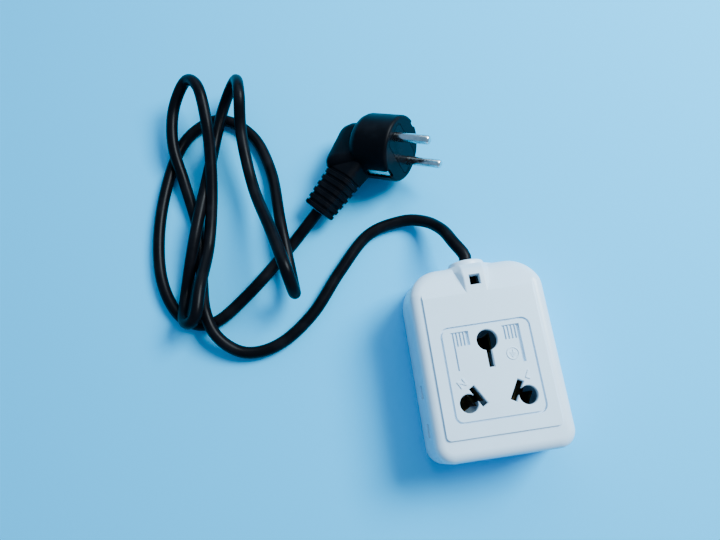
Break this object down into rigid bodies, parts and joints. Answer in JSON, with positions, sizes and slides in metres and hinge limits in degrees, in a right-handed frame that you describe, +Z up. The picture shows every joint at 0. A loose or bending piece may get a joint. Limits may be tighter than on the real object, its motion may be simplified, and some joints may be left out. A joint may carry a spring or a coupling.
{
  "type": "corded universal socket box",
  "caption": "White table socket box with a universal three-pole outlet on a black flexible cord that ends in a moulded side-entry round-pin plug.",
  "frame": {"origin": "centre of the box's footprint on the table, the box measured over its cord collar", "axes": "+Y along the box towards the end where the cord leaves, +Z up through the socket face, +X towards the live hole"},
  "size_m": [0.186, 0.2117, 0.0405],
  "materials": {
    "white_plastic": "satin moulded white",
    "base_plastic": "moulded off-white",
    "brass": "pressed strip",
    "steel": "zinc plated",
    "black_pvc": "flexible PVC, satin",
    "carrier_plastic": "moulded black",
    "nickel": "nickel plated brass",
    "copper": "bare strands",
    "core_brown": "PVC",
    "core_blue": "PVC",
    "core_green": "green and yellow PVC"
  },
  "bodies": {
    "root": {"top_cover": "white_plastic", "base_plate": "base_plastic", "live_contact": "brass", "neutral_contact": "brass", "earth_contact": "brass", "live_terminal_screw": "steel", "neutral_terminal_screw": "steel", "earth_terminal_screw": "steel", "cord_clamp": "base_plastic", "clamp_screw_left": "steel", "clamp_screw_right": "steel", "cord_tail": "black_pvc", "live_core": "core_brown", "neutral_core": "core_blue", "earth_core": "core_green", "live_conductor": "copper", "neutral_conductor": "copper", "earth_conductor": "copper", "plug_body": "black_pvc", "pin_carrier": "carrier_plastic", "live_pin": "nickel", "neutral_pin": "nickel", "earth_strip": "nickel", "plug_live_core": "core_brown", "plug_neutral_core": "core_blue", "plug_earth_core": "core_green", "cord": "black_pvc"}
  },
  "joints": []
}
